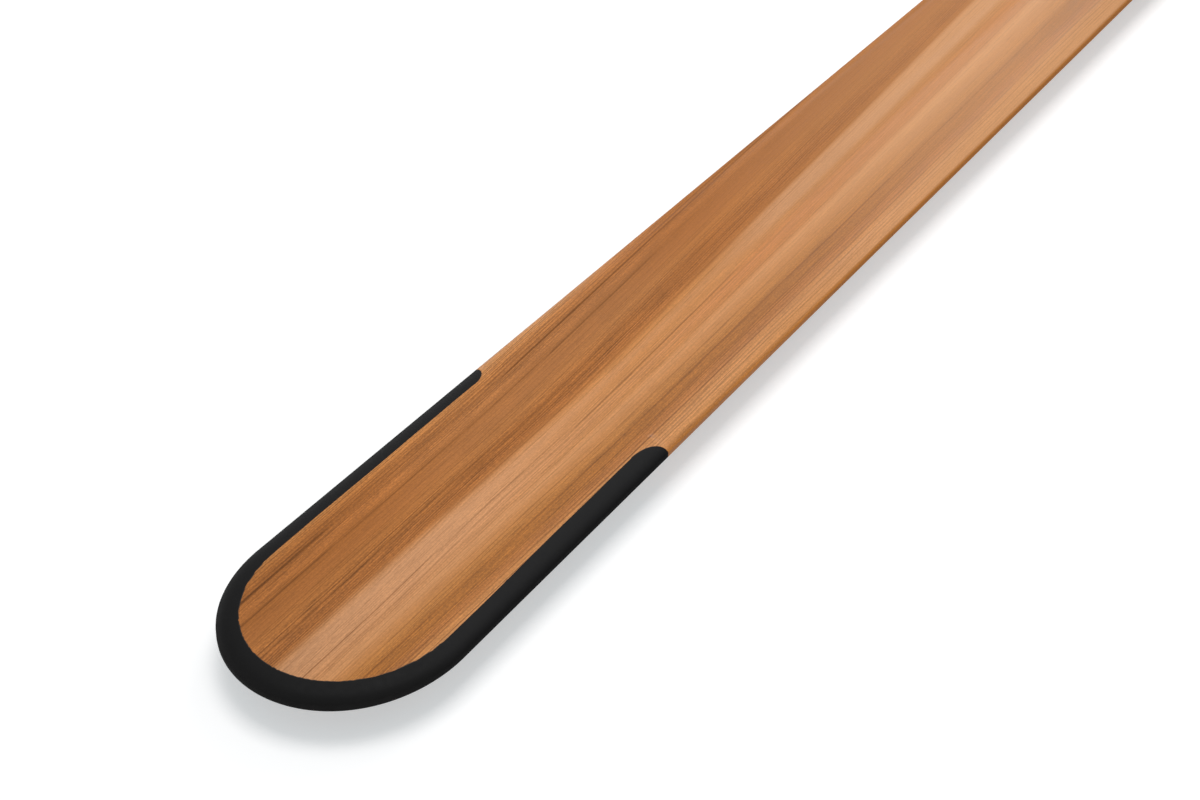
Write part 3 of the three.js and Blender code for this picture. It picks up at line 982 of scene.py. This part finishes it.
# Round the tip the face is a little darker. The edge is darker than the face along the arms, which is painted
# shade, and lighter round the tip, up to a height above the middle plane that is greater round the tip.
EPOXY_TIP = colour(6, 6, 6)
EPOXY_TIP_STRETCH = (15.0, 70.0)
EPOXY_TIP_SHARE = 0.5
EPOXY_ARM_EDGE_SHADE = colour(6, 6, 6)
EPOXY_TIP_EDGE = colour(33, 33, 33)
EPOXY_EDGE_START = 0.4
EPOXY_EDGE_TOPS = (2.3, 4.4)
EPOXY_EDGE_SHARE = 0.7

EPOXY_ROUGHNESS = (0.52, 0.66)
EPOXY_SPECULAR = 0.12
EPOXY_DULL_HEIGHTS = (1.0, 3.1)
EPOXY_DULL_ROUGHNESS = 0.34
EPOXY_RELIEF_SCALE = 1.6
EPOXY_RELIEF_FINENESS = 3.0
EPOXY_SCUFF_RELIEF = -0.4
EPOXY_BUMP = (0.3, 0.00008)


def make_epoxy():
    material, tree = new_material("edging_epoxy")
    position, x, _, z = place_on_paddle(tree)
    at_tip = falling(tree, distance_from_tip(tree, x), EPOXY_TIP_STRETCH)
    off_middle = calc(tree, "ABSOLUTE", z)
    mottle = noise(tree, position, MOTTLE_SCALE, MOTTLE_FINENESS, MOTTLE_ROUGHNESS)
    specks = eased(tree, noise(tree, position, SPECK_SCALE), SPECK_ENDS)
    scuff_place = stretch(tree, position, SCUFF_SCALES)
    scuffs = eased(tree, noise(tree, scuff_place, SCUFF_SCALE, SCUFF_FINENESS, SCUFF_ROUGHNESS), SCUFF_ENDS)
    patches = eased(tree, noise(tree, position, SCUFF_PATCH_SCALE, SCUFF_PATCH_FINENESS), SCUFF_PATCH_ENDS)
    scuffs = product(tree, scuffs, patches)

    base = mix_colours(tree, eased(tree, mottle, NOISE_ENDS), EPOXY_DARK, EPOXY_LIGHT)
    base = mix_colours(tree, product(tree, scuffs, SCUFF_SHARE), base, SCUFF_COLOUR)
    base = mix_colours(tree, product(tree, specks, SPECK_SHARE), base, SPECK_COLOUR)
    base = mix_colours(tree, product(tree, at_tip, EPOXY_TIP_SHARE), base, EPOXY_TIP)
    edge_top = straight(tree, at_tip, (0.0, 1.0), EPOXY_EDGE_TOPS)
    edge = falling(tree, off_middle, (EPOXY_EDGE_START, edge_top))
    # Painted shade on the edge along the arms
    edge_tone = mix_colours(tree, at_tip, EPOXY_ARM_EDGE_SHADE, EPOXY_TIP_EDGE)
    base = mix_colours(tree, product(tree, edge, EPOXY_EDGE_SHARE), base, edge_tone)

    roughness = straight(tree, mottle, NOISE_ENDS, EPOXY_ROUGHNESS)
    dull = falling(tree, off_middle, EPOXY_DULL_HEIGHTS)
    roughness = calc(tree, "MULTIPLY_ADD", dull, EPOXY_DULL_ROUGHNESS, roughness)
    grit = noise(tree, position, EPOXY_RELIEF_SCALE, EPOXY_RELIEF_FINENESS)
    relief = calc(tree, "MULTIPLY_ADD", scuffs, EPOXY_SCUFF_RELIEF, grit)
    show_surface(tree, base, roughness, bump(tree, relief, *EPOXY_BUMP), EPOXY_SPECULAR)
    return material


# Floor, world and lamps

FLOOR_REACH = 30.0
FLOOR_COLOUR = (0.68, 0.655, 0.645, 1.0)
FLOOR_GLOW = (0.440, 0.471, 0.485, 1.0)
# The lamps light the floor less and less with the distance, in metres, so its own glow grows there
GLOW_STRETCH = (1.6, 5.0)
GLOW_LEVELS = (1.0, 2.0)
WHITE = (1.0, 1.0, 1.0, 1.0)
# Strength of the world at the horizon and overhead, and how high up the one passes into the other
WORLD_STRENGTHS = (1.0, 0.42)
WORLD_CHANGE = (0.05, 0.25)
# Each lamp's name, the place that it shines on, the direction it shines from, its distance, size and power
LAMPS = (
    ("key_lamp", (-0.3, 0, 0), (0.0, 0.09, 1.0), 3.0, 1.65, 46),
    ("end_lamp", (-0.66, 0, 0), (0.82, 0.12, 0.55), 3.2, 1.3, 24),
)


def make_floor_material():
    """Pale diffuse, with a glow of its own where it is seen, so that it shows white outside the shadow."""
    material, tree = new_material("floor")
    diffuse = add(tree, "ShaderNodeBsdfDiffuse", {"Color": FLOOR_COLOUR}).outputs[0]
    rays = add(tree, "ShaderNodeLightPath").outputs
    seen = calc(tree, "MAXIMUM", calc(tree, "MAXIMUM", rays["Is Camera Ray"], rays["Is Glossy Ray"]),
                rays["Is Transmission Ray"])
    place = add(tree, "ShaderNodeTexCoord").outputs["Object"]
    distance = add(tree, "ShaderNodeVectorMath", {0: place}, operation="LENGTH").outputs["Value"]
    strength = product(tree, seen, eased(tree, distance, GLOW_STRETCH, GLOW_LEVELS))
    glow = add(tree, "ShaderNodeEmission", {"Color": FLOOR_GLOW, "Strength": strength}).outputs[0]
    both = add(tree, "ShaderNodeAddShader", {0: diffuse, 1: glow}).outputs[0]
    add(tree, "ShaderNodeOutputMaterial", {"Surface": both})
    return material


def make_floor():
    mesh = bpy.data.meshes.new("floor")
    corners = [(FLOOR_REACH * x, FLOOR_REACH * y, 0) for x, y in ((-1, -1), (1, -1), (1, 1), (-1, 1))]
    mesh.from_pydata(corners, [], [(0, 1, 2, 3)])
    mesh.materials.append(make_floor_material())
    floor = bpy.data.objects.new("floor", mesh)
    bpy.context.collection.objects.link(floor)


def make_world():
    """A plain studio: white near the floor's far edge, and dimmer overhead."""
    world = bpy.data.worlds.new("world")
    world.use_nodes = True
    tree = world.node_tree
    background = tree.nodes["Background"]
    background.inputs["Color"].default_value = WHITE
    direction = add(tree, "ShaderNodeTexCoord").outputs["Generated"]
    up = add(tree, "ShaderNodeSeparateXYZ", {0: direction}).outputs[2]
    strength = eased(tree, up, WORLD_CHANGE, WORLD_STRENGTHS)
    tree.links.new(strength, background.inputs["Strength"])
    bpy.context.scene.world = world


def make_lamp(name, target, direction, distance, size, power):
    """A square soft lamp that shines on the target from that direction."""
    data = bpy.data.lights.new(name, "AREA")
    data.shape = "SQUARE"
    data.size = size
    data.energy = power
    lamp = bpy.data.objects.new(name, data)
    away = np.array(direction) / np.linalg.norm(direction)
    lamp.location = tuple(np.array(target) + away * distance)
    level = math.hypot(away[0], away[1])
    lamp.rotation_euler = (math.atan2(level, away[2]), 0, math.atan2(away[1], away[0]) + math.pi / 2)
    bpy.context.collection.objects.link(lamp)


make_camera()
make_stave("loom_stave_middle", -MIDDLE_STAVE_WIDTH / 2, MIDDLE_STAVE_WIDTH / 2)
make_stave("loom_stave_left", MIDDLE_STAVE_WIDTH / 2, SEAM_FROM_CENTRE)
make_stave("loom_stave_right", -SEAM_FROM_CENTRE, -MIDDLE_STAVE_WIDTH / 2)
for blade_name in BLADES:
    for side_word in SIDES:
        make_cheek(blade_name, side_word)
    make_edging(blade_name)

materials = {"cedar": make_cedar(), "edging_epoxy": make_epoxy()}
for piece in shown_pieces():
    slot_name = piece.get("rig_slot")
    if slot_name in materials:
        piece.data.materials.append(materials[slot_name])

make_floor()
make_world()
for lamp_values in LAMPS:
    make_lamp(*lamp_values)
bpy.context.scene.view_settings.view_transform = "Standard"
